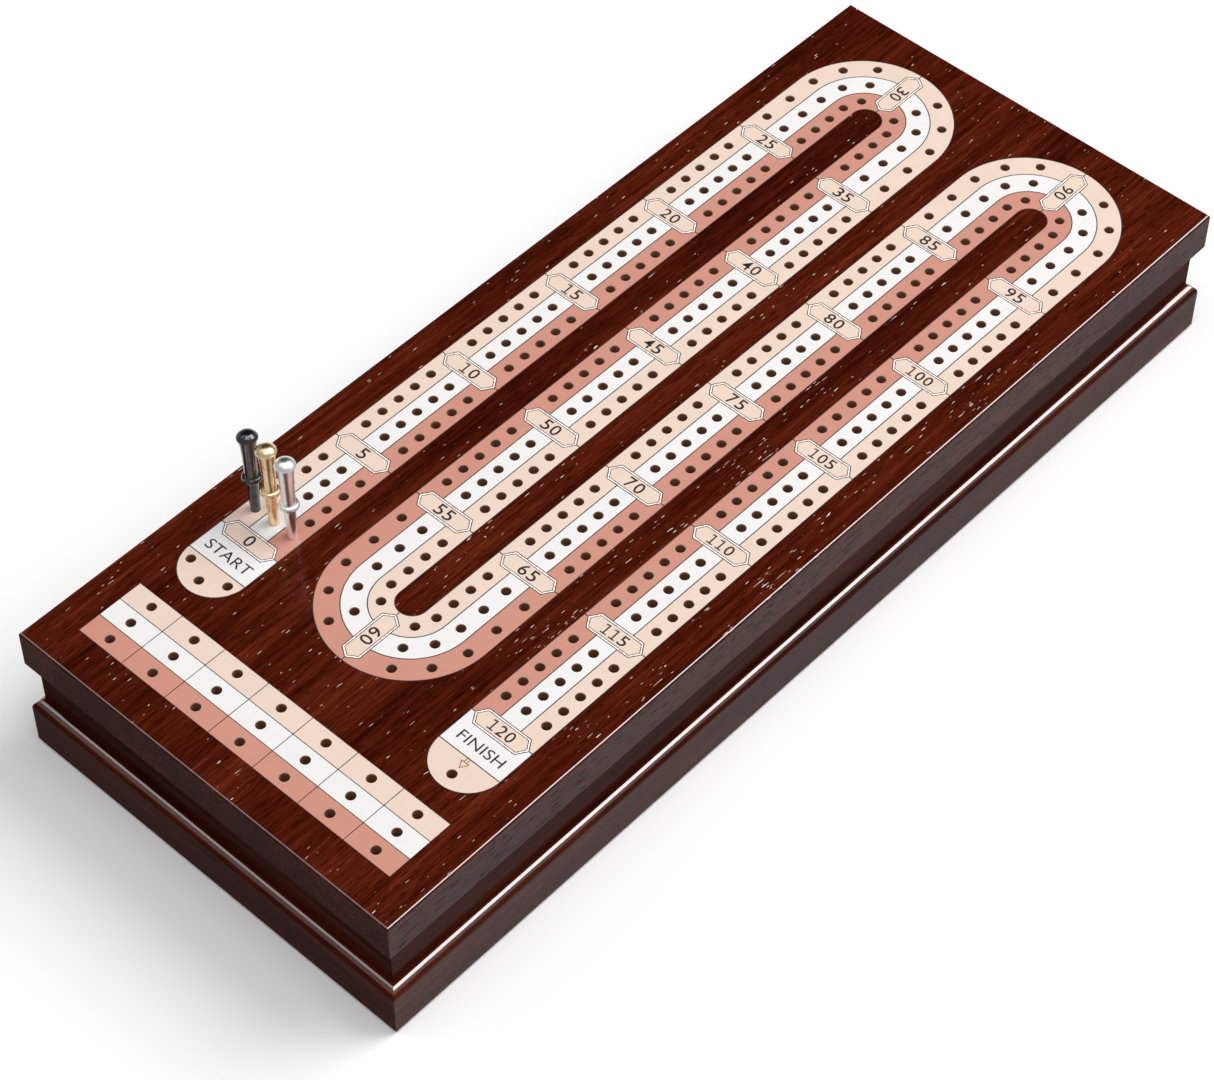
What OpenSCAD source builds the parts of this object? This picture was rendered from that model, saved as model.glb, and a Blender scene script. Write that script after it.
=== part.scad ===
// Three-lane cribbage board: a pegging board that swivels on a hollow moulded
// base with bays for cards and spare pegs. Millimetres, +Z up. The origin is on
// the table under the middle of the board; +Y runs from the games strip to the
// far end, and +X is to the right as the numbers are read.

/* [Board] */
// Width of the playing board
board_w = 149; // [149:1:160]
// Length of the playing board
board_l = 368; // [368:1:390]
// Thickness of the playing board
board_t = 14; // [13:0.5:16]
// Height of the whole box, feet included and pegs left out
total_h = 50.8; // [49:0.1:60]
// Radius of the eased edges round the playing face
edge_ease = 0.8; // [0.3:0.1:1.2]

/* [Track] */
// Width of one lane, which is also the spacing of its rows of holes
lane_w = 7.84; // [7.5:0.02:7.9]
// Distance between the middles of neighbouring columns
column_pitch = 34; // [33:0.1:35]
// Distance between neighbouring holes in a group of five
hole_pitch = 6.92; // [6.5:0.02:7]
// Distance from one number plaque to the next along a column
group_pitch = 45.6; // [45:0.1:46]
// Straight run from the last plaque of a column to the start of a turn
turn_run = 30.3; // [29.5:0.1:31]
// Thickness of the inlaid lanes and plaques
inlay_t = 1; // [0.6:0.1:1.5]

/* [Holes and pegs] */
// Diameter of the peg holes
hole_d = 3.2; // [3.2:0.1:3.4]
// Depth of the peg holes below the playing face
hole_depth = 9; // [9:0.5:10]
// Diameter of a peg's shank
shank_d = 3.1; // [2.9:0.05:3.1]
// Length of a peg below the playing face
peg_in = 8.5; // [6:0.5:8.5]
// Height of a peg above the playing face
peg_out = 33.4; // [30:0.1:36]
// Diameter of a peg's domed head
head_d = 6.5; // [6:0.1:6.8]

/* [Base] */
// Depth of the groove under the overhanging board
neck_inset = 2.75; // [2:0.05:4]
// Height of the plain foot of the moulding
base_face_h = 15; // [13:0.1:16]
// Thickness of the moulding's neck
neck_t = 8; // [7:0.5:9]
// Thickness of the bottom panel
panel_t = 5; // [4:0.5:6]
// Thickness of the dividers inside the base
divider_t = 5; // [4:0.5:6]
// Length of a card bay, which takes one deck on its side
card_bay = 68; // [67:1:70]
// Thickness of the felt feet under the base
foot_t = 0.8; // [0.6:0.1:1.2]
// Gap between the board and the base
seam = 0.3; // [0.2:0.1:0.5]

/* [Hidden] */
$fn = 48;

// Heights of the main faces
top_z = total_h;
board_z = total_h - board_t;
rim_z = board_z - seam;
pocket_z = top_z - inlay_t;
cut_over = 2;

// Track layout
ribbon_w = 3 * lane_w;
first_row_y = -114.8;
turn_r = column_pitch / 2;
top_turn_y = first_row_y + 5 * group_pitch + turn_run;
low_turn_y = first_row_y + group_pitch - turn_run;
end_row_shift = 0.85;
// Distance of the first hole of a turn from its plaque, and the pitch along
// the lane: outer, middle and inner lane
turn_first = [9.96, 9.32, 8.86];
turn_step = [11.5, 9.31, 7.02];

// Number plaques
plaque_l = 21.1;
plaque_w = 7.2;
plaque_tip = 2.4;
// Plaque 35 sits lower than its neighbours
plaque_35_drop = 2;

// Start and finish pads
pad_top = first_row_y - end_row_shift;
band_h = 13;
cap_y = pad_top - band_h;
start_side_x = 7.76;
start_side_drop = 3.1;
start_mid_drop = 7.15;
finish_drop = 6.9;

// Games strip
games_cells = 7;
games_pitch = 17.91;
games_y = -159.7;
games_hole_pitch = 8;

// Moulding
// The foot stands out this far past the edge of the board
foot_overhang = 0.35;
base_bottom_ease = 0.4;
face_x = board_w / 2 + foot_overhang;
face_y = board_l / 2 + foot_overhang;
neck_out = neck_inset + foot_overhang;
bead_r = neck_out;
inner_x = board_w / 2 - neck_inset - neck_t;
inner_y = board_l / 2 - neck_inset - neck_t;
rail_t = neck_out + neck_t;

// Bottom panel and its rabbet
rabbet = 5;
panel_gap = 0.1;
panel_z = foot_t;
floor_z = panel_z + panel_t;

// Bays
liner_t = 1;
divider_h = 21;
divider_x = 29.5;
tray_x = divider_x + divider_t;
divider_1_y = -106;
divider_2_y = divider_1_y + divider_t + card_bay;
divider_3_y = divider_2_y + divider_t + card_bay;

// Swivel pivot and magnetic catch, in opposite corners
pivot_inset = 18.5;
pivot_x = board_w / 2 - pivot_inset;
pivot_y = board_l / 2 - pivot_inset;
block_w = 18.5;
shoulder_r = 3;
running_gap = 0.05;
thread_r = 2.5;
insert_r = 4;
insert_h = 9.5;
washer_r = 9;
washer_t = 1;
washer_hole_r = shoulder_r + 0.3;
bolt_head_r = 5;
bolt_head_h = 4;
head_pocket_r = 6.3;
head_pocket_z = floor_z + 15;
head_washer_r = 6;
magnet_r = 4;
magnet_h = 3;

// Spare pegs
cradle_l = 112;
cradle_h = 9;
groove_r = 3.6;
groove_pitch = 9;
groove_l = 2 * (peg_in + peg_out) + 6;
peg_l = peg_in + peg_out;
cradle_y = -inner_y;
cradle_x = (tray_x + inner_x) / 2;

// Screws and feet
screw_r = 1.25;
screw_head_r = 2.2;
screw_l = 14;
foot_r = 7;
foot_x = face_x - 9;
foot_y = face_y - 38;

// ---------------------------------------------------------------- layout

function column_x(c) = (c - 1.5) * column_pitch;
function row_y(k) = first_row_y + k * group_pitch;
function is_end_column(c) = c == 0 || c == 3;

// Offset of the peach lane from the middle of column c; the terracotta lane
// is on the other side, and the lanes never cross
function peach_side(c) = c % 2 == 0 ? -lane_w : lane_w;

// Offset of lane 0 peach, 1 white, 2 terracotta
function lane_shift(lane, c) = (1 - lane) * peach_side(c);

// Holes in the straight groups of one lane
function straight_holes(lane) = [
    for (c = [0:3])
        for (k = [is_end_column(c) ? 0 : 1 : 4])
            for (i = [-2:2])
                [column_x(c) + lane_shift(lane, c), row_y(k) + group_pitch / 2 + i * hole_pitch]
];

// A point at distance s along a lane from its last plaque, on a turn whose
// middle is at [cx, cy], on side -1 or 1, bending up (1) or down (-1)
function turn_point(cx, cy, r, s, side, up) =
    let (arc = max(0, s - turn_run) / r * 180 / PI, run = min(0, s - turn_run))
    [cx + side * r * cos(arc), cy + up * (run + r * sin(arc))];

// Place of a lane on a turn: 0 outer, 1 middle, 2 inner
function turn_place(lane, up) = up > 0 ? lane : 2 - lane;
function turn_lane_r(place) = turn_r + (1 - place) * lane_w;
function turn_x(t) = (column_x(t) + column_x(t + 1)) / 2;
function turn_up(t) = t == 1 ? -1 : 1;
function turn_y(t) = t == 1 ? low_turn_y : top_turn_y;

function turn_holes(lane) = [
    for (t = [0:2])
        let (place = turn_place(lane, turn_up(t)))
            for (side = [-1, 1])
                for (i = [0:4])
                    turn_point(turn_x(t), turn_y(t), turn_lane_r(place),
                        turn_first[place] + i * turn_step[place], side, turn_up(t))
];

function lane_holes(lane) = concat(straight_holes(lane), turn_holes(lane));

start_holes = [
    [column_x(0) - start_side_x, cap_y - start_side_drop],
    [column_x(0), cap_y - start_mid_drop],
    [column_x(0) + start_side_x, cap_y - start_side_drop]
];
finish_holes = [[column_x(3), cap_y - finish_drop]];

function games_holes(row) = [
    for (i = [0:games_cells - 1])
        [(i - (games_cells - 1) / 2) * games_pitch, games_y + (1 - row) * games_hole_pitch]
];

// Plaques as [x, y, turned]
function column_plaques(c) = [
    for (k = [is_end_column(c) ? 0 : 1 : 5])
        [column_x(c), row_y(k) + plaque_shift(c, k), false]
];
function plaque_shift(c, k) =
    k == 0 ? -end_row_shift
    : k < 5 ? 0
    : c == 1 ? end_row_shift - plaque_35_drop
    : end_row_shift;
plaques = concat(
    column_plaques(0), column_plaques(1), column_plaques(2), column_plaques(3),
    [for (t = [0:2]) [turn_x(t), turn_y(t) + turn_up(t) * turn_r, true]]
);

// ---------------------------------------------------------------- helpers

module at_points(points) {
    for (p = points)
        translate([p[0], p[1], 0]) children();
}

// Box from its lowest and highest corners
module box(low, high) {
    translate(low) cube(high - low);
}

// Peg hole tool, from the bottom of the hole to above the playing face
module hole_tool(from_z = top_z - hole_depth) {
    translate([0, 0, from_z]) cylinder(h = top_z - from_z + cut_over, d = hole_d, $fn = 32);
}

// Half a flat ring around a turn
module half_ring(t, r_in, r_out, z0, z1) {
    up = turn_up(t);
    translate([turn_x(t), turn_y(t), z0]) intersection() {
        difference() {
            cylinder(h = z1 - z0, r = r_out, $fn = 96);
            translate([0, 0, -1]) cylinder(h = z1 - z0 + 2, r = r_in, $fn = 96);
        }
        translate([-r_out - 1, up > 0 ? 0 : -r_out - 1, -1])
            cube([2 * r_out + 2, r_out + 1, z1 - z0 + 2]);
    }
}

// One lane's whole path, straight runs and turns, as wide as w about the lane
module lane_path(lane, w, z0, z1) {
    for (c = [0:3]) {
        x = column_x(c) + lane_shift(lane, c);
        low_y = is_end_column(c) ? pad_top : low_turn_y;
        box([x - w / 2, low_y, z0], [x + w / 2, top_turn_y, z1]);
    }
    for (t = [0:2]) {
        r = turn_lane_r(turn_place(lane, turn_up(t)));
        half_ring(t, r - w / 2, r + w / 2, z0, z1);
    }
}

module plaque_shape(z0, z1) {
    half_l = plaque_l / 2;
    shoulder = half_l - plaque_tip;
    half_w = plaque_w / 2;
    translate([0, 0, z0]) linear_extrude(z1 - z0)
        polygon([
            [-half_l, 0], [-shoulder, -half_w], [shoulder, -half_w],
            [half_l, 0], [shoulder, half_w], [-shoulder, half_w]
        ]);
}

module all_plaques(z0, z1) {
    for (p = plaques)
        translate([p[0], p[1], 0]) rotate([0, 0, p[2] ? 90 : 0]) plaque_shape(z0, z1);
}

// Half-round end of a pad
module cap_shape(c, z0, z1) {
    intersection() {
        translate([column_x(c), cap_y, z0]) cylinder(h = z1 - z0, d = ribbon_w, $fn = 96);
        box([column_x(c) - ribbon_w, cap_y - ribbon_w, z0 - 1], [column_x(c) + ribbon_w, cap_y, z1 + 1]);
    }
}

module band_shape(c, z0, z1) {
    box([column_x(c) - ribbon_w / 2, cap_y, z0], [column_x(c) + ribbon_w / 2, pad_top, z1]);
}

// Row of the games strip: 0 nearest the track
module games_shape(row, z0, z1) {
    half = games_cells * games_pitch / 2;
    high_y = games_y + (1.5 - row) * lane_w;
    box([-half, high_y - lane_w, z0], [half, high_y, z1]);
}

// ---------------------------------------------------------------- playing board

// What is planed off to round one long edge, along +X at the origin, of a block
// that lies towards -Y and -Z
module edge_round(l) {
    difference() {
        translate([-1, -edge_ease, -edge_ease]) cube([l + 2, edge_ease + 1, edge_ease + 1]);
        translate([-2, -edge_ease, -edge_ease]) rotate([0, 90, 0]) cylinder(h = l + 4, r = edge_ease);
    }
}

module board_blank() {
    difference() {
        box([-board_w / 2, -board_l / 2, board_z], [board_w / 2, board_l / 2, top_z]);
        for (a = [0, 180]) {
            rotate([0, 0, a]) translate([-board_w / 2, board_l / 2, top_z]) edge_round(board_w);
            rotate([0, 0, a - 90]) translate([-board_l / 2, board_w / 2, top_z]) edge_round(board_l);
        }
    }
}

// Shallow pockets that the inlays lie in
module inlay_pockets() {
    over = top_z + cut_over;
    for (c = [0:3])
        box([column_x(c) - ribbon_w / 2, is_end_column(c) ? cap_y : low_turn_y, pocket_z],
            [column_x(c) + ribbon_w / 2, top_turn_y, over]);
    for (t = [0:2])
        half_ring(t, turn_r - ribbon_w / 2, turn_r + ribbon_w / 2, pocket_z, over);
    cap_shape(0, pocket_z, over);
    cap_shape(3, pocket_z, over);
    half = games_cells * games_pitch / 2;
    box([-half, games_y - ribbon_w / 2, pocket_z], [half, games_y + ribbon_w / 2, over]);
}

module top_board() {
    color([0.24, 0.09, 0.06]) difference() {
        board_blank();
        inlay_pockets();
        for (lane = [0:2]) {
            at_points(lane_holes(lane)) hole_tool();
            at_points(games_holes(lane)) hole_tool();
        }
        at_points(start_holes) hole_tool();
        at_points(finish_holes) hole_tool();
        translate([pivot_x, pivot_y, board_z - 1]) {
            cylinder(h = 1 + washer_t - seam + running_gap, r = washer_r + 0.3);
            cylinder(h = 1 + insert_h, r = insert_r);
        }
        translate([-pivot_x, -pivot_y, board_z - 1]) cylinder(h = 1 + magnet_h, r = magnet_r);
    }
}

module lane(index, rgb) {
    color(rgb) difference() {
        lane_path(index, lane_w, pocket_z, top_z);
        all_plaques(pocket_z - 1, top_z + 1);
        at_points(lane_holes(index)) hole_tool(pocket_z - 1);
    }
}

peach = [0.93, 0.80, 0.70];
white = [0.95, 0.94, 0.93];
terracotta = [0.80, 0.52, 0.45];

module lane_peach() {
    lane(0, peach);
}

module lane_white() {
    lane(1, white);
}

module lane_terracotta() {
    lane(2, terracotta);
}

module pad_band(c) {
    color(white) difference() {
        band_shape(c, pocket_z, top_z);
        all_plaques(pocket_z - 1, top_z + 1);
    }
}

module start_band() {
    pad_band(0);
}

module finish_band() {
    pad_band(3);
}

module start_cap() {
    color(peach) difference() {
        cap_shape(0, pocket_z, top_z);
        at_points(start_holes) hole_tool(pocket_z - 1);
    }
}

module finish_cap() {
    color(peach) difference() {
        cap_shape(3, pocket_z, top_z);
        at_points(finish_holes) hole_tool(pocket_z - 1);
    }
}

module number_plaques() {
    color(peach) all_plaques(pocket_z, top_z);
}

module games_row(row, rgb) {
    color(rgb) difference() {
        games_shape(row, pocket_z, top_z);
        at_points(games_holes(row)) hole_tool(pocket_z - 1);
    }
}

module games_row_peach() {
    games_row(0, peach);
}

module games_row_white() {
    games_row(1, white);
}

module games_row_terracotta() {
    games_row(2, terracotta);
}

// ---------------------------------------------------------------- pegs

tip_ease = 0.5;
collar_z = 14.2;
collar_r = 3.1;
collar_half_h = 1.1;
waist_r = 1.85;
neck_r = 2.5;
neck_drop = 1.5;
rim_ease = 0.35;
head_r = head_d / 2;
dome_h = 2.3;
dome_r = (head_r * head_r + dome_h * dome_h) / (2 * dome_h);
head_rim_z = peg_out - dome_h;

// Bead profile bulging outwards from radius r_in at height z
function bead(z, half_h, r_in, r_out, steps = 8) = [
    for (i = [0:steps])
        let (a = -90 + 180 * i / steps)
            [r_in + (r_out - r_in) * cos(a), z + half_h * sin(a)]
];

// Hollow curve from [r0, z0] to [r1, z1], both ends left out
function flare(z0, z1, r0, r1, steps = 6) = [
    for (i = [1:steps - 1])
        let (u = i / steps)
            [r0 + (r1 - r0) * u * u, z0 + (z1 - z0) * u]
];

// Dome of the head, from its rim to its crown
function dome(steps = 10) =
    let (a0 = asin((dome_r - dome_h) / dome_r))
    [
        for (i = [0:steps - 1])
            let (a = a0 + (90 - a0) * i / steps)
                [dome_r * cos(a), peg_out - dome_r + dome_r * sin(a)]
    ];

// Peg with its axis on Z and the playing face at z = 0
module peg(rgb) {
    shank_r = shank_d / 2;
    collar_top = collar_z + collar_half_h;
    neck_z = head_rim_z - neck_drop;
    color(rgb) rotate_extrude($fn = 48) polygon(concat(
        [[0, -peg_in], [shank_r - tip_ease, -peg_in], [shank_r, tip_ease - peg_in]],
        bead(collar_z, collar_half_h, shank_r, collar_r),
        [[waist_r, collar_top]],
        flare(collar_top, neck_z, waist_r, neck_r),
        [[neck_r, neck_z]],
        flare(neck_z, head_rim_z - rim_ease, neck_r, head_r - rim_ease, steps = 3),
        [[head_r - rim_ease / 2, head_rim_z - rim_ease]],
        dome(),
        [[0, peg_out]]
    ));
}

black_steel = [0.10, 0.10, 0.11];
gold = [0.84, 0.66, 0.40];
silver = [0.78, 0.79, 0.82];

// The pegs stand in the first holes of the three lanes
module standing_peg(lane, rgb) {
    first = lane_holes(lane)[0];
    translate([first[0], first[1], top_z]) peg(rgb);
}

module peg_black() {
    standing_peg(0, black_steel);
}

module peg_gold() {
    standing_peg(1, gold);
}

module peg_silver() {
    standing_peg(2, silver);
}

// Two spare pegs, end to end in one groove of the cradle
module spare_pegs(groove, rgb) {
    gap = 1.5;
    x = cradle_x + (groove - 1) * groove_pitch;
    mid_y = cradle_y + cradle_l / 2;
    for (end = [-1, 1])
        translate([x, mid_y + end * (peg_l + gap) / 2 - (peg_l / 2 - peg_in), floor_z + cradle_h])
            rotate([-90, 0, 0]) peg(rgb);
}

module spare_pegs_black() {
    spare_pegs(0, black_steel);
}

module spare_pegs_gold() {
    spare_pegs(1, gold);
}

module spare_pegs_silver() {
    spare_pegs(2, silver);
}

// ---------------------------------------------------------------- base

dark_wood = [0.20, 0.08, 0.06];
inner_wood = [0.36, 0.20, 0.13];

// Section of the moulding: x runs outwards from the inner face, y is height
module rail_section() {
    bead_cx = rail_t - bead_r;
    bead_z = foot_t + base_face_h;
    difference() {
        union() {
            translate([0, foot_t]) square([rail_t, base_face_h]);
            translate([0, foot_t]) square([neck_t, rim_z - foot_t]);
            intersection() {
                translate([bead_cx, bead_z]) circle(r = bead_r, $fn = 64);
                translate([bead_cx, bead_z]) square(2 * bead_r);
            }
        }
        translate([-1, foot_t - 1]) square([rabbet + 1, floor_z - foot_t + 1]);
        translate([rail_t - base_bottom_ease, foot_t]) difference() {
            translate([0, -1]) square([base_bottom_ease + 1, base_bottom_ease + 1]);
            translate([0, base_bottom_ease]) circle(r = base_bottom_ease, $fn = 48);
        }
    }
}

// Mitred rail of outside length l, with its inner face at distance inner from the
// origin towards +X
module rail(l, inner) {
    outer = inner + rail_t;
    intersection() {
        translate([inner, l / 2, 0]) rotate([90, 0, 0]) linear_extrude(l) rail_section();
        linear_extrude(total_h) polygon([
            [inner - 1, -l / 2 + rail_t + 1], [outer + 1, -l / 2 - 1],
            [outer + 1, l / 2 + 1], [inner - 1, l / 2 - rail_t - 1]
        ]);
    }
}

module floor_screw_pilots() {
    for (p = screw_places)
        translate([p[0], p[1], floor_z - 1]) cylinder(h = 1 + screw_l - panel_t, r = screw_r, $fn = 24);
}

module rail_left() {
    color(dark_wood) difference() {
        rotate([0, 0, 180]) rail(2 * face_y, inner_x);
        floor_screw_pilots();
    }
}

module rail_right() {
    color(dark_wood) difference() {
        rail(2 * face_y, inner_x);
        floor_screw_pilots();
    }
}

module rail_near() {
    color(dark_wood) difference() {
        rotate([0, 0, -90]) rail(2 * face_x, inner_y);
        floor_screw_pilots();
    }
}

module rail_far() {
    color(dark_wood) difference() {
        rotate([0, 0, 90]) rail(2 * face_x, inner_y);
        floor_screw_pilots();
    }
}

screw_line_x = inner_x + rabbet / 2 - 0.1;
screw_line_y = inner_y + rabbet / 2 - 0.1;
screw_places = concat(
    [for (side = [-1, 1], k = [-1:1]) [side * screw_line_x, k * board_l * 0.37]],
    [for (side = [-1, 1]) [0, side * screw_line_y]]
);

module floor_panel() {
    w = inner_x + rabbet - panel_gap;
    l = inner_y + rabbet - panel_gap;
    head_h = screw_head_r - screw_r;
    color(inner_wood) difference() {
        box([-w, -l, panel_z], [w, l, floor_z]);
        translate([pivot_x, pivot_y, panel_z - 1]) cylinder(h = panel_t + 2, r = head_pocket_r);
        for (p = screw_places)
            translate([p[0], p[1], 0]) {
                translate([0, 0, panel_z - 1]) cylinder(h = panel_t + 2, r = screw_r, $fn = 24);
                translate([0, 0, panel_z - 1])
                    cylinder(h = head_h + 1, r1 = screw_head_r + 1, r2 = screw_r, $fn = 24);
            }
    }
}

module panel_screws() {
    head_h = screw_head_r - screw_r;
    color("dimgray")
        for (p = screw_places)
            translate([p[0], p[1], panel_z]) difference() {
                union() {
                    cylinder(h = head_h, r1 = screw_head_r, r2 = screw_r, $fn = 24);
                    cylinder(h = screw_l, r = screw_r, $fn = 24);
                }
                for (a = [0, 90])
                    rotate([0, 0, a]) translate([-1.3, -0.25, -1]) cube([2.6, 0.5, 1.6]);
            }
}

module pivot_block() {
    color(inner_wood) difference() {
        box([inner_x - block_w, inner_y - block_w, floor_z], [inner_x, inner_y, rim_z]);
        translate([pivot_x, pivot_y, 0]) {
            cylinder(h = total_h, r = shoulder_r + running_gap);
            translate([0, 0, floor_z - 1]) cylinder(h = head_pocket_z - floor_z + 1, r = head_pocket_r);
        }
    }
}

module catch_block() {
    color(inner_wood) difference() {
        box([-inner_x, -inner_y, floor_z], [block_w - inner_x, block_w - inner_y, rim_z]);
        translate([-pivot_x, -pivot_y, rim_z - magnet_h]) cylinder(h = magnet_h + 1, r = magnet_r);
    }
}

// Ring about the pivot
module pivot_ring(r_out, r_in, z, h) {
    translate([pivot_x, pivot_y, z]) difference() {
        cylinder(h = h, r = r_out);
        translate([0, 0, -1]) cylinder(h = h + 2, r = r_in);
    }
}

module pivot_insert() {
    color("goldenrod") pivot_ring(insert_r, thread_r, board_z + washer_t - seam + running_gap,
        insert_h - washer_t + seam - running_gap);
}

module pivot_washer() {
    color("ivory") pivot_ring(washer_r, washer_hole_r, rim_z, washer_t);
}

module head_washer() {
    color("ivory") pivot_ring(head_washer_r, washer_hole_r, head_pocket_z - washer_t, washer_t);
}

module pivot_spring_washer() {
    color("silver") pivot_ring(bolt_head_r, shoulder_r, head_pocket_z - 2 * washer_t - running_gap, washer_t);
}

module pivot_bolt() {
    head_top = head_pocket_z - 2 * washer_t - running_gap;
    shoulder_top = board_z + washer_t - seam + running_gap;
    color("silver") translate([pivot_x, pivot_y, 0]) difference() {
        union() {
            translate([0, 0, head_top - bolt_head_h]) cylinder(h = bolt_head_h, r = bolt_head_r);
            translate([0, 0, head_top - 1]) cylinder(h = shoulder_top - head_top + 1, r = shoulder_r);
            translate([0, 0, shoulder_top - 1]) cylinder(h = 1 + insert_h - washer_t, r = thread_r);
        }
        translate([0, 0, head_top - bolt_head_h - 1]) cylinder(h = 3.5, r = 2.3, $fn = 6);
    }
}

module magnet(x, y, z) {
    color("lightsteelblue") translate([x, y, z]) cylinder(h = magnet_h, r = magnet_r);
}

module magnet_top() {
    magnet(-pivot_x, -pivot_y, board_z);
}

module magnet_base() {
    magnet(-pivot_x, -pivot_y, rim_z - magnet_h);
}

module divider_long() {
    color(inner_wood) box([divider_x, -inner_y, floor_z], [tray_x, inner_y, floor_z + divider_h]);
}

module divider_cross(y) {
    color(inner_wood) box([-inner_x, y, floor_z], [divider_x, y + divider_t, floor_z + divider_h]);
}

module divider_cross_1() {
    divider_cross(divider_1_y);
}

module divider_cross_2() {
    divider_cross(divider_2_y);
}

module divider_cross_3() {
    divider_cross(divider_3_y);
}

felt = [0.10, 0.20, 0.14];

module liner(x0, y0, x1, y1) {
    color(felt) box([x0, y0, floor_z], [x1, y1, floor_z + liner_t]);
}

module liner_cards() {
    for (y = [divider_1_y, divider_2_y])
        liner(-inner_x, y + divider_t, divider_x, y + divider_t + card_bay);
}

module liner_near_bay() {
    difference() {
        liner(-inner_x, -inner_y, divider_x, divider_1_y);
        box([-inner_x - 1, -inner_y - 1, 0], [block_w - inner_x, block_w - inner_y, total_h]);
    }
}

module liner_far_bay() {
    liner(-inner_x, divider_3_y + divider_t, divider_x, inner_y);
}

module liner_tray() {
    difference() {
        liner(tray_x, cradle_y + cradle_l, inner_x, inner_y);
        box([inner_x - block_w, inner_y - block_w, 0], [inner_x + 1, inner_y + 1, total_h]);
    }
}

module peg_cradle() {
    mid_y = cradle_y + cradle_l / 2;
    color(inner_wood) difference() {
        box([tray_x, cradle_y, floor_z], [inner_x, cradle_y + cradle_l, floor_z + cradle_h]);
        for (g = [-1:1])
            translate([cradle_x + g * groove_pitch, mid_y + groove_l / 2, floor_z + cradle_h])
                rotate([90, 0, 0]) cylinder(h = groove_l, r = groove_r);
    }
}

module felt_feet() {
    color(felt)
        for (sx = [-1, 1], sy = [-1, 1])
            translate([sx * foot_x, sy * foot_y, 0]) cylinder(h = foot_t, r = foot_r);
}

top_board();
lane_peach();
lane_white();
lane_terracotta();
start_band();
start_cap();
finish_band();
finish_cap();
number_plaques();
games_row_peach();
games_row_white();
games_row_terracotta();
pivot_insert();
pivot_bolt();
pivot_spring_washer();
magnet_top();
peg_black();
peg_gold();
peg_silver();
rail_left();
rail_right();
rail_near();
rail_far();
floor_panel();
pivot_block();
catch_block();
pivot_washer();
head_washer();
magnet_base();
divider_long();
divider_cross_1();
divider_cross_2();
divider_cross_3();
liner_cards();
liner_near_bay();
liner_far_bay();
liner_tray();
peg_cradle();
spare_pegs_black();
spare_pegs_gold();
spare_pegs_silver();
panel_screws();
felt_feet();
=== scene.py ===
"""Looks for the cribbage board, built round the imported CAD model.

Shapes are written in millimetres in the CAD frame and scaled to metres when a mesh is made.
The studio and the camera at the end are in metres.
"""

import math

import bmesh
import bpy
from mathutils import Matrix, Vector, noise


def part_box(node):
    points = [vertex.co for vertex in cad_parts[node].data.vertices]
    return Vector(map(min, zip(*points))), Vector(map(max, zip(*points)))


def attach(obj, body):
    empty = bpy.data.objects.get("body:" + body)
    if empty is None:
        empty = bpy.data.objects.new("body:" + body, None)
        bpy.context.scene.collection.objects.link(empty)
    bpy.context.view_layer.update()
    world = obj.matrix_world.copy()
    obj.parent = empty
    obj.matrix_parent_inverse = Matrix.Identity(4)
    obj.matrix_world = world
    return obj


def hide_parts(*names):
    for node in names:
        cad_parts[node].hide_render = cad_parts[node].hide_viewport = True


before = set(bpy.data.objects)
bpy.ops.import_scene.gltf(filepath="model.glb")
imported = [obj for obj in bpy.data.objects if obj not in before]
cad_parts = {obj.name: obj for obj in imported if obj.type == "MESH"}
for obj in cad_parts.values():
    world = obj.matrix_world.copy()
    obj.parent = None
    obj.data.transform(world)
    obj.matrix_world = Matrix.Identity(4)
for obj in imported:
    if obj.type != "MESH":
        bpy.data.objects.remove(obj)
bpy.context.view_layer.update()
scene = bpy.context.scene

# ---------------------------------------------------------------- sizes, in millimetres

MM = 0.001


def cad_box(node):
    low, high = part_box(node)
    return low / MM, high / MM


# The board is centred on the Z axis, so this corner holds half its width and half its length
BOARD_CORNER = cad_box("top_board")[1]
TOP = BOARD_CORNER.z

# The track: columns side by side, rows of plaques along them, and a turn between two columns
COLUMNS = 4
START_COLUMN = 0
FINISH_COLUMN = 3
ROWS = 6
LANE_W = 7.84
RIBBON_HALF = 1.5 * LANE_W
COLUMN_PITCH = 34.0
GROUP_PITCH = 45.6
FIRST_ROW_Y = -114.8
END_ROW_SHIFT = 0.85
PLAQUE_35_DROP = 2.0
TURN_RUN = 30.3
TURN_R = COLUMN_PITCH / 2
HIGH_TURN_Y = FIRST_ROW_Y + (ROWS - 1) * GROUP_PITCH + TURN_RUN
LOW_TURN_Y = FIRST_ROW_Y + GROUP_PITCH - TURN_RUN

# Start and finish pads, plaques, games strip, and how far a peg reaches in and out of the board
PAD_TOP = FIRST_ROW_Y - END_ROW_SHIFT
CAP_Y = cad_box("start_cap")[1].y
PLAQUE_HALF_L = 10.55
PLAQUE_HALF_W = 3.6
PLAQUE_TIP = 2.4
GAMES_CELLS = 7
GAMES_PITCH = 17.91
GAMES_Y = -159.7
PEG_IN = 8.5
PEG_OUT = 33.4

# Widths and levels of what is printed on the playing face
LINE_W = 0.33
BORDER_W = 0.30
RING_W = 0.42
RING_LAP = 0.1
HAIR_W = 0.25
PRINT_DEPTH = 0.02
RING_RISE = 0.006
LINE_RISE = 0.012
TEXT_RISE = 0.016


def column_x(column):
    return (column - (COLUMNS - 1) / 2) * COLUMN_PITCH


def row_y(row):
    return FIRST_ROW_Y + row * GROUP_PITCH


def is_end_column(column):
    return column in (START_COLUMN, FINISH_COLUMN)


def turn_x(turn):
    return (column_x(turn) + column_x(turn + 1)) / 2


def turn_way(turn):
    """1 for the turns at the far end and -1 for the middle one, at the near end."""
    return -1 if turn == 1 else 1


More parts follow.
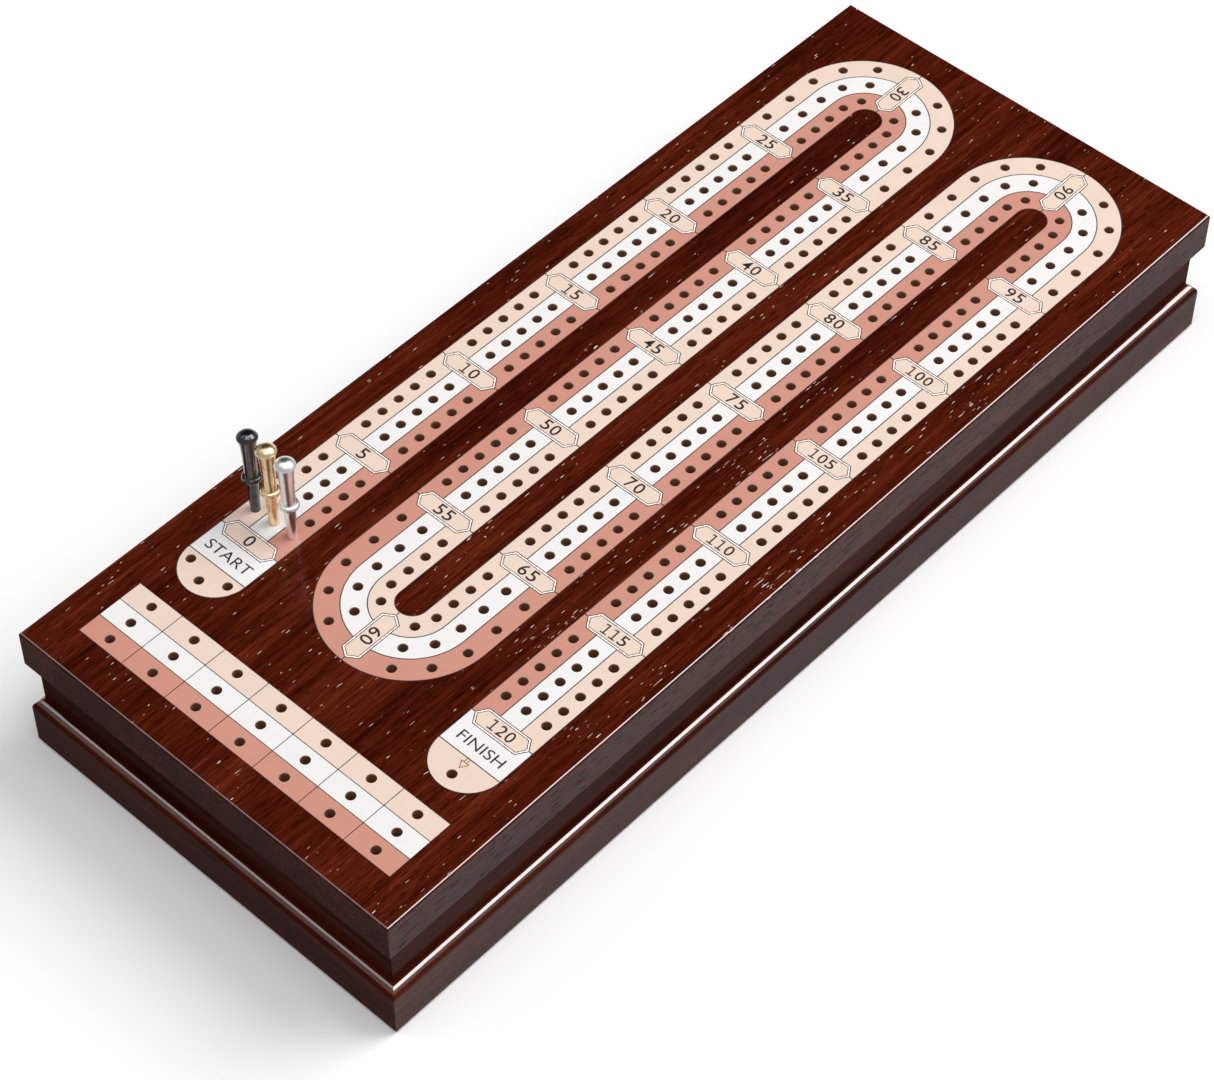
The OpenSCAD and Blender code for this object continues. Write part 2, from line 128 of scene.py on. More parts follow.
def turn_y(turn):
    return LOW_TURN_Y if turn == 1 else HIGH_TURN_Y


# ---------------------------------------------------------------- mesh tools


class Shape:
    """Vertices and faces gathered for one mesh."""

    def __init__(self):
        self.verts = []
        self.faces = []

    def add(self, verts, faces):
        base = len(self.verts)
        self.verts.extend(tuple(v) for v in verts)
        self.faces.extend([base + i for i in face] for face in faces)

    def prism(self, outline, z0, z1):
        """A flat-sided prism over a simple counter-clockwise outline."""
        n = len(outline)
        verts = [(x, y, z) for z in (z0, z1) for x, y in outline]
        faces = [list(range(n))[::-1], list(range(n, 2 * n))]
        faces += [[i, (i + 1) % n, n + (i + 1) % n, n + i] for i in range(n)]
        self.add(verts, faces)

    def stroke(self, points, width, z0, z1, closed=False):
        """A raised line of even width along points, with mitred corners."""
        sides = offset_both_sides(points, width / 2, closed)
        n = len(points)
        verts = []
        for left, right in sides:
            verts += [(*left, z0), (*left, z1), (*right, z1), (*right, z0)]
        faces = []
        for i in range(n if closed else n - 1):
            a, b = 4 * i, 4 * ((i + 1) % n)
            for k in range(4):
                j = (k + 1) % 4
                faces.append([a + k, a + j, b + j, b + k])
        if not closed:
            last = 4 * (n - 1)
            faces += [[3, 2, 1, 0], [last, last + 1, last + 2, last + 3]]
        self.add(verts, faces)


def offset_both_sides(points, half, closed):
    pts = [Vector(p) for p in points]
    n = len(pts)
    out = []
    for i, p in enumerate(pts):
        before = pts[i - 1] if closed or i > 0 else None
        after = pts[(i + 1) % n] if closed or i < n - 1 else None
        d0 = (p - before).normalized() if before is not None else (after - p).normalized()
        d1 = (after - p).normalized() if after is not None else d0
        side = Vector((-(d0 + d1).y, (d0 + d1).x)).normalized()
        reach = half / max(side.dot(Vector((-d1.y, d1.x))), 0.35)
        out.append((p + side * reach, p - side * reach))
    return out


def arc(cx, cy, radius, start, end, steps):
    """Points on an arc, angles in degrees."""
    angles = [math.radians(start + (end - start) * i / steps) for i in range(steps + 1)]
    return [(cx + radius * math.cos(a), cy + radius * math.sin(a)) for a in angles]


def make_mesh(name, shape):
    mesh = bpy.data.meshes.new(name)
    mesh.from_pydata([Vector(v) * MM for v in shape.verts], [], shape.faces)
    mesh.validate()
    mesh.update()
    return mesh


def add_piece(name, mesh, material, body, replaces=(), smooth_angle=None):
    obj = bpy.data.objects.new(name, mesh)
    scene.collection.objects.link(obj)
    mesh.materials.clear()
    mesh.materials.append(material)
    if smooth_angle is not None:
        mesh.polygons.foreach_set("use_smooth", [True] * len(mesh.polygons))
        mesh.set_sharp_from_angle(angle=math.radians(smooth_angle))
    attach(obj, body)
    if replaces:
        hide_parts(*replaces)


# ---------------------------------------------------------------- material tools


# Numbers of the Mix node's colour sockets, which share their names with its other sockets
MIX_COLORS_IN = (6, 7)
MIX_COLOR_OUT = 2


class Look:
    """A material under construction, with short names for the nodes used here."""

    def __init__(self, name):
        self.material = bpy.data.materials.new(name)
        self.material.use_nodes = True
        self.nodes = self.material.node_tree.nodes
        self.links = self.material.node_tree.links
        self.nodes.clear()
        self.shader = self.nodes.new("ShaderNodeBsdfPrincipled")
        output = self.nodes.new("ShaderNodeOutputMaterial")
        self.links.new(self.shader.outputs[0], output.inputs["Surface"])
        place = self.nodes.new("ShaderNodeTexCoord")
        self.place = self.vector("MULTIPLY", place.outputs["Object"], (1 / MM,) * 3)

    def put(self, socket, value):
        if isinstance(value, bpy.types.NodeSocket):
            self.links.new(value, socket)
        else:
            socket.default_value = value

    def set(self, **values):
        """Sets the shader's own sockets: base_color=... is the socket Base Color."""
        for name, value in values.items():
            title = " ".join(w.upper() if w == "ior" else w.capitalize() for w in name.split("_"))
            if title.endswith("Color") and not isinstance(value, bpy.types.NodeSocket):
                value = (*value, 1.0)
            self.put(self.shader.inputs[title], value)

    def vector(self, operation, a, b):
        node = self.nodes.new("ShaderNodeVectorMath")
        node.operation = operation
        self.put(node.inputs[0], a)
        self.put(node.inputs[1], b)
        return node.outputs["Vector"]

    def scaled(self, color, factor):
        """A fixed colour made lighter or darker by a factor that varies."""
        node = self.nodes.new("ShaderNodeVectorMath")
        node.operation = "SCALE"
        self.put(node.inputs[0], color)
        self.put(node.inputs["Scale"], factor)
        return node.outputs["Vector"]

    def math(self, operation, a, b=0.0):
        node = self.nodes.new("ShaderNodeMath")
        node.operation = operation
        self.put(node.inputs[0], a)
        self.put(node.inputs[1], b)
        return node.outputs[0]

    def product(self, first, *others):
        for other in others:
            first = self.math("MULTIPLY", first, other)
        return first

    def total(self, first, *others):
        for other in others:
            first = self.math("ADD", first, other)
        return first

    def grain_space(self, sizes, shift=0.0):
        """Coordinates in which one unit is sizes millimetres along each axis."""
        moved = self.vector("ADD", self.place, (shift,) * 3)
        return self.vector("MULTIPLY", moved, tuple(1 / s for s in sizes))

    def noise(self, sizes, detail=2.0, roughness=0.5, distortion=0.0, shift=0.0):
        node = self.nodes.new("ShaderNodeTexNoise")
        node.normalize = True
        self.put(node.inputs["Vector"], self.grain_space(sizes, shift))
        self.put(node.inputs["Scale"], 1.0)
        self.put(node.inputs["Detail"], detail)
        self.put(node.inputs["Roughness"], roughness)
        self.put(node.inputs["Distortion"], distortion)
        return node.outputs["Fac"]

    def step(self, value, low, high, out_low=0.0, out_high=1.0):
        node = self.nodes.new("ShaderNodeMapRange")
        node.interpolation_type = "SMOOTHSTEP"
        self.put(node.inputs["Value"], value)
        self.put(node.inputs["From Min"], low)
        self.put(node.inputs["From Max"], high)
        self.put(node.inputs["To Min"], out_low)
        self.put(node.inputs["To Max"], out_high)
        return node.outputs["Result"]

    def mix(self, factor, a, b):
        """Colour a where factor is 0 and colour b where it is 1."""
        node = self.nodes.new("ShaderNodeMix")
        node.data_type = "RGBA"
        self.put(node.inputs["Factor"], factor)
        for index, color in zip(MIX_COLORS_IN, (a, b)):
            if isinstance(color, tuple):
                color = (*color, 1.0)
            self.put(node.inputs[index], color)
        return node.outputs[MIX_COLOR_OUT]

    def ramp(self, value, stops):
        node = self.nodes.new("ShaderNodeValToRGB")
        elements = node.color_ramp.elements
        while len(elements) < len(stops):
            elements.new(0.5)
        for element, (position, color) in zip(elements, stops):
            element.position = position
            element.color = (*color, 1.0)
        self.put(node.inputs["Fac"], value)
        return node.outputs["Color"]

    def bump(self, height, distance_mm, strength):
        node = self.nodes.new("ShaderNodeBump")
        self.put(node.inputs["Height"], height)
        self.put(node.inputs["Distance"], distance_mm * MM)
        self.put(node.inputs["Strength"], strength)
        self.put(self.shader.inputs["Normal"], node.outputs["Normal"])

    def facing(self, axis):
        """How squarely the surface looks along an axis of the part, either way: 1 is square on."""
        place = self.nodes.new("ShaderNodeTexCoord")
        parts = self.nodes.new("ShaderNodeSeparateXYZ")
        self.put(parts.inputs[0], place.outputs["Normal"])
        return self.math("ABSOLUTE", parts.outputs[axis])

    def position(self, axis):
        """Millimetres from the origin along one axis, given by its letter."""
        parts = self.nodes.new("ShaderNodeSeparateXYZ")
        self.put(parts.inputs[0], self.place)
        return parts.outputs[axis]

    def inside_edges(self, half, skin=0.5, fade=1.0):
        """1 deep inside a block that reaches from -half to half, and 0 at its outer sides."""
        inside = 1.0
        for axis, reach in (("X", half.x), ("Y", half.y)):
            gap = self.math("ABSOLUTE", self.position(axis))
            inside = self.product(self.step(gap, reach - skin, reach - skin - fade), inside)
        return inside

    def above(self, level, below_value, above_value, fade=0.5):
        """One value below a height and another above it."""
        return self.step(self.position("Z"), level, level + fade, below_value, above_value)


def along(axis, across, length):
    """Feature sizes for grain that runs along axis 0 to 2."""
    sizes = [across] * 3
    sizes[axis] = length
    return tuple(sizes)


# ---------------------------------------------------------------- materials

# Colours of the stained wood, from its darkest grain to its palest
BOARD_SHADES = [
    (0.34, (0.012, 0.0014, 0.0007)),
    (0.44, (0.038, 0.0044, 0.0016)),
    (0.54, (0.086, 0.0112, 0.0040)),
    (0.66, (0.165, 0.0285, 0.0108)),
]
BLACK = (0.0, 0.0, 0.0)
DARK_PORE = (0.008, 0.0010, 0.0005)
PORE_GLINT_PAINT = (0.80, 0.70, 0.62)
BARE_WOOD = (0.30, 0.15, 0.085)

# Painted shade: share of the colour left on upright faces, and of that again on short ends and the
# neck
SIDE_PAINTED_SHADE = 0.60
END_PAINTED_SHADE = 0.8
NECK_PAINTED_SHADE = 0.8

# How much lacquer shows on rounded edges and on upright faces; in the neck it is dulled along with
# the painted shade
EDGE_POLISH = 0.9
END_EDGE_POLISH = 0.6
SIDE_SHEEN = 0.23
END_SHEEN = 0.088
NECK_SHEEN = 0.35
LACQUER_ROUGHNESS = 0.12
LACQUER_IOR = 2.4

# The neck of the base starts at this height
NECK_Z = 19.0


def pale_pores(look, axis, shift):
    """1 in the pores that get painted glints: pale specks in the colour that stand in for light
    caught in the pores, a painted highlight.

    They lie in clusters, and most are halfway along the board, towards +X.
    """
    specks = look.noise(along(axis, 0.32, 3.0), detail=0.0, shift=shift + 13)
    patches = look.noise(along(axis, 8.0, 22.0), detail=2.0, roughness=0.6, shift=shift + 7)
    clusters = look.step(patches, 0.46, 0.60)
    halfway = look.step(look.math("ABSOLUTE", look.position("Y")), 160.0, 60.0)
    # The zone marked worn is where the painted glints lie densest: halfway along, towards +X
    worn = look.product(look.step(look.position("X"), -40.0, 50.0), halfway)
    boost = look.total(look.product(worn, 0.073), 0.030)
    return look.step(look.total(specks, look.product(clusters, boost)), 0.845, 0.870)


def stained_wood(
    name, axis, shift, flecks=0.0, roughness=0.34, open_pores=1.0, bored=False, neck=None
):
    """Dark red-brown stain under lacquer, with the grain along axis.

    flecks says how strongly pale specks show in the pores, painted glints of light in the colour,
    and open_pores how strongly dark open pores show. Bored wood is bare in its holes. The lacquer
    is glossiest on rounded edges and duller on the short ends. The colour is darkened on upright
    faces, and more on the short ends, as painted shade; above the height neck, which the board
    overhangs, the colour is darkened further as painted shade and the lacquer is duller still.
    """
    look = Look(name)
    bands = look.noise(along(axis, 15.0, 170.0), detail=2.0, distortion=0.5, shift=shift)
    streaks = look.noise(along(axis, 1.7, 60.0), 4.0, 0.62, distortion=0.3, shift=shift)
    fibres = look.noise(along(axis, 0.40, 11.0), 3.0, 0.65, shift=shift)
    shade = look.product(bands, 0.28)
    shade = look.total(shade, look.product(streaks, 0.38), look.product(fibres, 0.34))
    color = look.ramp(shade, BOARD_SHADES)
    pits = look.noise(along(axis, 0.34, 5.0), detail=1.0, shift=shift + 31)
    dark_pores = look.step(pits, 0.60, 0.68)
    color = look.mix(look.product(dark_pores, 0.7 * open_pores), color, DARK_PORE)

    level = look.facing("Z")
    ends = look.facing("Y")
    # Painted highlight: pale specks where the pores would glint, on faces that look up only
    pale = look.product(pale_pores(look, axis, shift), look.step(level, 0.5, 0.9, 0.0, flecks))
    color = look.mix(pale, color, PORE_GLINT_PAINT)
    # Painted shade: upright faces, and the short ends more, are darkened in the colour itself
    light = look.step(level, 0.3, 0.8, SIDE_PAINTED_SHADE, 1.0)
    light = look.product(light, look.step(ends, 0.5, 0.9, 1.0, END_PAINTED_SHADE))
    color = look.mix(light, BLACK, color)
    if bored:
        walls = look.product(look.inside_edges(BOARD_CORNER), look.step(level, 0.6, 0.4))
        color = look.mix(walls, color, BARE_WOOD)
    relief = look.math("SUBTRACT", look.product(fibres, 0.5), dark_pores)
    look.bump(relief, 0.035, 0.5)

    edges = look.product(look.step(level, 0.63, 0.73), look.step(level, 0.997, 0.95))
    polish = look.product(edges, look.step(ends, 0.3, 0.6, EDGE_POLISH, END_EDGE_POLISH))
    upright = look.step(level, 0.05, 0.36, 1.0, 0.12)
    sheen = look.product(upright, look.step(ends, 0.5, 0.9, SIDE_SHEEN, END_SHEEN))
    sheen = look.product(sheen, look.step(dark_pores, 0.0, 1.0, 1.0, 1.0 - 0.7 * open_pores))
    # Painted shade under the board's overhang: above the height neck the colour is darkened and the
    # lacquer dulled
    if neck is not None:
        sheen = look.product(sheen, look.above(neck, 1.0, NECK_SHEEN))
        color = look.mix(look.above(neck, 1.0, NECK_PAINTED_SHADE), BLACK, color)
    gloss = look.total(look.product(fibres, 0.14), roughness - 0.07)
    look.set(base_color=color, roughness=gloss, specular_ior_level=0.0)
    look.set(coat_weight=look.total(polish, sheen))
    look.set(coat_roughness=LACQUER_ROUGHNESS, coat_ior=LACQUER_IOR)
    return look.material


INNER_SHADES = [
    (0.25, (0.115, 0.036, 0.014)),
    (0.50, (0.180, 0.066, 0.027)),
    (0.75, (0.260, 0.105, 0.046)),
]
INNER_PORE = (0.06, 0.02, 0.01)


def plain_wood(name, axis, shift):
    """Sanded and thinly sealed inner wood."""
    look = Look(name)
    bands = look.noise(along(axis, 12.0, 120.0), detail=2.0, distortion=0.9, shift=shift)
    fibres = look.noise(along(axis, 0.55, 14.0), 4.0, 0.65, shift=shift)
    shade = look.total(look.product(bands, 0.55), look.product(fibres, 0.45))
    pits = look.noise(along(axis, 0.25, 3.5), detail=1.0, shift=shift + 5)
    pores = look.step(pits, 0.63, 0.72)
    color = look.mix(look.product(pores, 0.5), look.ramp(shade, INNER_SHADES), INNER_PORE)
    look.bump(look.math("SUBTRACT", fibres, pores), 0.04, 0.45)
    gloss = look.total(look.product(fibres, 0.15), 0.48)
    look.set(base_color=color, roughness=gloss)
    return look.material


VENEER_THICK = 0.36
VENEER_CORE = (0.80, 0.66, 0.55)


def inlay(name, color, shift):
    """Dyed veneer under lacquer. Where it is cut, the edge is pale veneer over brown wood."""
    look = Look(name)
    fibres = look.noise(along(1, 0.5, 9.0), 3.0, 0.6, shift=shift)
    mottle = look.noise((9.0, 16.0, 9.0), 2.0, shift=shift + 3)
    tone = look.total(look.product(fibres, 0.10), look.product(mottle, 0.07), 0.915)
    seam, blur = TOP - VENEER_THICK, 0.06
    depth = look.step(look.position("Z"), seam - blur, seam + blur)
    cut = look.mix(depth, BARE_WOOD, VENEER_CORE)
    level = look.step(look.facing("Z"), 0.35, 0.65)
    look.bump(fibres, 0.012, 0.35)
    gloss = look.total(look.product(mottle, 0.10), 0.33)
    look.set(base_color=look.mix(level, cut, look.scaled(color, tone)), roughness=gloss)
    look.set(coat_weight=0.2, coat_roughness=0.12)
    return look.material


def ink(name, color):
    look = Look(name)
    blot = look.noise((0.5, 0.5, 0.5), 2.0)
    thin = tuple(c * 1.8 + 0.006 for c in color)
    shade = look.mix(look.step(blot, 0.35, 0.7), color, thin)
    look.bump(blot, 0.004, 0.3)
    gloss = look.total(look.product(blot, 0.15), 0.34)
    look.set(base_color=shade, roughness=gloss)
    return look.material


def turned_metal(name, color, worn, roughness, axis, coat=0.0, metallic=1.0):
    """Lathe-turned and plated: fine rings about axis, and a little tarnish."""
    look = Look(name)
    rings = look.noise(along(axis, 60.0, 0.16), 2.0, 0.6)
    cloud = look.noise((2.5, 2.5, 4.0), 3.0, 0.6, 0.3)
    look.bump(rings, 0.005, 0.12)
    look.set(base_color=look.mix(look.step(cloud, 0.4, 0.75), color, worn))
    look.set(roughness=look.total(look.product(cloud, 0.10), roughness), metallic=metallic)
    look.set(coat_weight=coat, coat_roughness=0.05, coat_ior=1.7)
    if metallic < 0.5:
        look.set(specular_ior_level=0.1)
    return look.material


def plastic(name, color, roughness):
    look = Look(name)
    grain = look.noise((0.4, 0.4, 0.4), 3.0)
    look.bump(grain, 0.01, 0.4)
    gloss = look.total(look.product(grain, 0.15), roughness)
    shade = look.mix(look.step(grain, 0.3, 0.7), color, tuple(c * 0.86 for c in color))
    look.set(base_color=shade, roughness=gloss)
    return look.material


def felt(name, color):
    look = Look(name)
    nap = look.noise((0.22, 0.22, 0.22), 4.0, 0.7)
    tufts = look.noise((1.6, 1.6, 1.6), 3.0, 0.6)
    worn = look.noise((18.0, 18.0, 18.0), 2.0)
    deep = tuple(c * 0.55 for c in color)
    shade = look.mix(look.step(nap, 0.3, 0.7), deep, color)
    pale = tuple(c * 1.5 + 0.012 for c in color)
    shade = look.mix(look.product(look.step(tufts, 0.5, 0.75), 0.5), shade, pale)
    shade = look.mix(look.product(worn, 0.25), shade, pale)
    look.bump(look.total(nap, look.product(tufts, 0.8)), 0.25, 0.8)
    look.set(base_color=shade, roughness=0.95, sheen_weight=0.35, sheen_roughness=0.5)
    return look.material


board_wood = stained_wood("board_wood", 1, 0.0, flecks=0.95, roughness=0.40, bored=True)
side_wood = stained_wood("side_rail_wood", 1, 211.0, open_pores=0.35, neck=NECK_Z)
end_wood = stained_wood("end_rail_wood", 0, 409.0, open_pores=0.35, neck=NECK_Z)
inner_wood_y = plain_wood("inner_wood_long", 1, 0.0)
inner_wood_x = plain_wood("inner_wood_cross", 0, 77.0)
inner_wood_z = plain_wood("inner_wood_block", 2, 133.0)
peach_veneer = inlay("peach_veneer", (0.85, 0.67, 0.56), 0.0)
white_veneer = inlay("white_veneer", (0.88, 0.87, 0.855), 50.0)
terracotta_veneer = inlay("terracotta_veneer", (0.64, 0.293, 0.223), 90.0)
line_ink = ink("line_ink", (0.016, 0.011, 0.010))
text_ink = ink("text_ink", (0.018, 0.014, 0.014))
arrow_ink = ink("arrow_ink", (0.16, 0.075, 0.045))
ring_white = ink("ring_white", (0.84, 0.77, 0.72))

# Fresh colour, tarnished colour, roughness, coat and metallic of the pegs' plating
PLATES = {
    "black": ((0.004, 0.004, 0.007), (0.014, 0.012, 0.018), 0.25, 1.0, 0.0),
    "gold": ((0.95, 0.74, 0.47), (0.82, 0.54, 0.29), 0.22, 0.0, 1.0),
    "silver": ((0.95, 0.96, 0.99), (0.86, 0.87, 0.91), 0.26, 0.0, 1.0),
}


def plate(color, axis):
    """The plating of a peg that lies along axis."""
    fresh, worn, roughness, coat, metallic = PLATES[color]
    name = f"{color}_plate_{'xyz'[axis]}"
    return turned_metal(name, fresh, worn, roughness, axis, coat, metallic)


zinc = turned_metal("zinc_plate", (0.55, 0.56, 0.57), (0.42, 0.43, 0.42), 0.28, 2)
nickel = turned_metal("nickel_plate", (0.62, 0.60, 0.57), (0.50, 0.49, 0.47), 0.20, 2)
brass = turned_metal("brass", (0.80, 0.58, 0.24), (0.55, 0.36, 0.14), 0.22, 2)
nylon = plastic("nylon", (0.80, 0.77, 0.69), 0.38)
green_felt = felt("green_felt", (0.020, 0.085, 0.042))
foot_felt = felt("foot_felt", (0.030, 0.022, 0.020))

NODE_LOOKS = {
    "top_board": board_wood,
    "lane_peach": peach_veneer,
    "lane_white": white_veneer,
    "lane_terracotta": terracotta_veneer,
    "start_band": white_veneer,
    "start_cap": peach_veneer,
    "finish_band": white_veneer,
    "finish_cap": peach_veneer,
    "number_plaques": peach_veneer,
    "games_row_peach": peach_veneer,
    "games_row_white": white_veneer,
    "games_row_terracotta": terracotta_veneer,
    "pivot_insert": brass,
    "pivot_bolt": zinc,
    "pivot_spring_washer": zinc,
    "magnet_top": nickel,
    "magnet_base": nickel,
    "pivot_washer": nylon,
    "head_washer": nylon,
    "rail_left": side_wood,
    "rail_right": side_wood,
    "rail_near": end_wood,
    "rail_far": end_wood,
    "floor_panel": inner_wood_y,
    "pivot_block": inner_wood_z,
    "catch_block": inner_wood_z,
    "peg_cradle": inner_wood_y,
    "panel_screws": zinc,
}
for node, material in NODE_LOOKS.items():
    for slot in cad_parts[node].material_slots:
        slot.material = material

# ---------------------------------------------------------------- printed lines


TURN_STEPS = 48


def track_path(offset):
    """(kind, number, points) of every column and turn of a line along the track.

    offset is how far the line lies from the track's middle, towards the peach lane.
    """
    runs = []
    for column in range(COLUMNS):
        rising = column % 2 == 0
        x = column_x(column) + (-offset if rising else offset)
        low = PAD_TOP if is_end_column(column) else LOW_TURN_Y
        ends = [(x, low), (x, HIGH_TURN_Y)]
        runs.append(("column", column, ends if rising else ends[::-1]))
        if column < COLUMNS - 1:
            way = turn_way(column)
            radius = TURN_R + way * offset
            points = arc(turn_x(column), turn_y(column), radius, 180, 180 - way * 180, TURN_STEPS)
            runs.append(("turn", column, points))
    return runs


def plaque_rows(column):
    """Where the plaques along a column lie in Y, from the near end."""
    out = []
    for row in range(0 if is_end_column(column) else 1, ROWS):
        y = row_y(row)
        if row == 0:
            y -= END_ROW_SHIFT
        if row == ROWS - 1:
            y += END_ROW_SHIFT
            if column == 1:
                y -= PLAQUE_35_DROP
        out.append(y)
    return out


def lane_lines(shape):
    """The two lines between the lanes, broken where the plaques are."""
    z0, z1 = TOP - PRINT_DEPTH, TOP + LINE_RISE
    for offset in (-LANE_W / 2, LANE_W / 2):
        for kind, index, points in track_path(offset):
            if kind == "column":
                x = points[0][0]
                low, high = sorted(p[1] for p in points)
                stops = [low]
                for y in plaque_rows(index):
                    stops += [y - PLAQUE_HALF_W, y + PLAQUE_HALF_W]
                stops.append(high)
                for y0, y1 in zip(stops[::2], stops[1::2]):
                    if y1 - y0 > LINE_W:
                        shape.stroke([(x, y0), (x, y1)], LINE_W, z0, z1)
            else:
                way = turn_way(index)
                radius = TURN_R + way * offset
                half = math.degrees(math.asin(PLAQUE_HALF_W / radius))
                for start, end in ((180, 90 + half), (90 - half, 0)):
                    steps = TURN_STEPS // 2
                    pts = arc(turn_x(index), turn_y(index), radius, way * start, way * end, steps)
                    shape.stroke(pts, LINE_W, z0, z1)


def track_outline(shape):
    """The line round the whole track, both pads included."""
    loop = []
    for _, _, points in track_path(RIBBON_HALF):
        loop += points
    loop += arc(column_x(FINISH_COLUMN), CAP_Y, RIBBON_HALF, 0, -180, TURN_STEPS)
    for _, _, points in reversed(track_path(-RIBBON_HALF)):
        loop += points[::-1]
    loop += arc(column_x(START_COLUMN), CAP_Y, RIBBON_HALF, 0, -180, TURN_STEPS)
    clean = [loop[0]]
    for p in loop[1:]:
        if math.dist(p, clean[-1]) > 0.01:
            clean.append(p)
    shape.stroke(clean, LINE_W, TOP - PRINT_DEPTH, TOP + LINE_RISE, closed=True)


def hexagon(inset):
    """Plaque outline pulled in by inset, long axis along X."""
    slope = math.hypot(PLAQUE_TIP, PLAQUE_HALF_W)
    half_w = PLAQUE_HALF_W - inset
    half_l = PLAQUE_HALF_L - inset * slope / PLAQUE_HALF_W
    shoulder = half_l - half_w * PLAQUE_TIP / PLAQUE_HALF_W
    return [
        (-half_l, 0), (-shoulder, -half_w), (shoulder, -half_w),
        (half_l, 0), (shoulder, half_w), (-shoulder, half_w),
    ]


def placed(points, x, y, turned):
    if turned:
        return [(x - q, y + p) for p, q in points]
    return [(x + p, y + q) for p, q in points]


def all_plaques():
    """(number, x, y, turned) of every plaque, in the order of play."""
    out = []
    for column in range(COLUMNS):
        rows = plaque_rows(column)
        if column % 2:
            rows = rows[::-1]
        for y in rows:
            out.append((column_x(column), y, False))
        if column < COLUMNS - 1:
            out.append((turn_x(column), turn_y(column) + turn_way(column) * TURN_R, True))
    return [(5 * i, *place) for i, place in enumerate(out)]


def plaque_borders(dark, pale):
    z0 = TOP - PRINT_DEPTH
    for _, x, y, turned in all_plaques():
        outer = placed(hexagon(BORDER_W / 2), x, y, turned)
        dark.stroke(outer, BORDER_W, z0, TOP + LINE_RISE, closed=True)
        ring = placed(hexagon(BORDER_W + RING_W / 2), x, y, turned)
        pale.stroke(ring, RING_W + RING_LAP, z0, TOP + RING_RISE, closed=True)
        inner = placed(hexagon(BORDER_W + RING_W + HAIR_W / 2), x, y, turned)
        dark.stroke(inner, HAIR_W, z0, TOP + LINE_RISE, closed=True)
        for side in (-1, 1):
            tick = [(side * PLAQUE_HALF_L, 0), (side * RIBBON_HALF, 0)]
            dark.stroke(placed(tick, x, y, turned), LINE_W, z0, TOP + LINE_RISE)


def pad_lines(shape):
    for column in (START_COLUMN, FINISH_COLUMN):
        x = column_x(column)
        ends = [(x - RIBBON_HALF, CAP_Y), (x + RIBBON_HALF, CAP_Y)]
        shape.stroke(ends, LINE_W, TOP - PRINT_DEPTH, TOP + LINE_RISE)


def games_lines(shape):
    z0, z1 = TOP - PRINT_DEPTH, TOP + LINE_RISE
    half_l = GAMES_CELLS * GAMES_PITCH / 2
    low, high = GAMES_Y - RIBBON_HALF, GAMES_Y + RIBBON_HALF
    frame_line = [(-half_l, low), (half_l, low), (half_l, high), (-half_l, high)]
    shape.stroke(frame_line, HAIR_W, z0, z1, closed=True)
    for i in range(1, GAMES_CELLS):
        x = -half_l + i * GAMES_PITCH
        shape.stroke([(x, low), (x, high)], HAIR_W, z0, z1)
    for side in (-1, 1):
        y = GAMES_Y + side * LANE_W / 2
        shape.stroke([(-half_l, y), (half_l, y)], HAIR_W, z0, z1)


def finish_arrow(shape):
    """Outlined arrow that points from the finish band to the finish hole."""
    x, y = column_x(FINISH_COLUMN), CAP_Y
    shaft_half, shaft, head_half, head = 0.5, 1.65, 1.4, 2.35
    z0, z1 = TOP - PRINT_DEPTH, TOP + LINE_RISE
    for side in (-1, 1):
        line = [(x + side * shaft_half, y), (x + side * shaft_half, y - shaft)]
        shape.stroke(line, HAIR_W, z0, z1)
    tip = [(x - head_half, y - shaft), (x, y - shaft - head), (x + head_half, y - shaft)]
    shape.stroke(tip, HAIR_W, z0, z1, closed=True)


def printed_piece(name, shape, material):
    """A film on the playing face, which moves with the board."""
    add_piece(name, make_mesh(name, shape), material, "board")


track_lines = Shape()
lane_lines(track_lines)
track_outline(track_lines)
pad_lines(track_lines)
printed_piece("track_lines", track_lines, line_ink)

plaque_lines, plaque_rings = Shape(), Shape()
plaque_borders(plaque_lines, plaque_rings)
printed_piece("plaque_lines", plaque_lines, line_ink)
printed_piece("plaque_rings", plaque_rings, ring_white)

games_grid = Shape()
games_lines(games_grid)
printed_piece("games_lines", games_grid, line_ink)

arrow = Shape()
finish_arrow(arrow)
printed_piece("finish_arrow", arrow, arrow_ink)

# ---------------------------------------------------------------- printed words and numbers


def text_mesh(words, width, height, ink_spread):
    """Points, faces and rim edges of the words, centred on the origin, width by height."""
    curve = bpy.data.curves.new("text", "FONT")
    curve.body = words
    curve.size = 1.0
    curve.resolution_u = 6
    curve.offset = ink_spread
    holder = bpy.data.objects.new("text", curve)
    scene.collection.objects.link(holder)
    depsgraph = bpy.context.evaluated_depsgraph_get()
    mesh = bpy.data.meshes.new_from_object(holder.evaluated_get(depsgraph))
    bpy.data.objects.remove(holder)
    xs = [v.co.x for v in mesh.vertices]
    ys = [v.co.y for v in mesh.vertices]
    scale_x = width / (max(xs) - min(xs))
    scale_y = height / (max(ys) - min(ys))
    mid_x, mid_y = (max(xs) + min(xs)) / 2, (max(ys) + min(ys)) / 2
    flat = [((v.co.x - mid_x) * scale_x, (v.co.y - mid_y) * scale_y) for v in mesh.vertices]
    faces = [list(p.vertices) for p in mesh.polygons]
    edges = dict.fromkeys(edge for face in faces for edge in zip(face, face[1:] + face[:1]))
    rim = [(a, b) for a, b in edges if (b, a) not in edges]
    bpy.data.meshes.remove(mesh)
    return flat, faces, rim


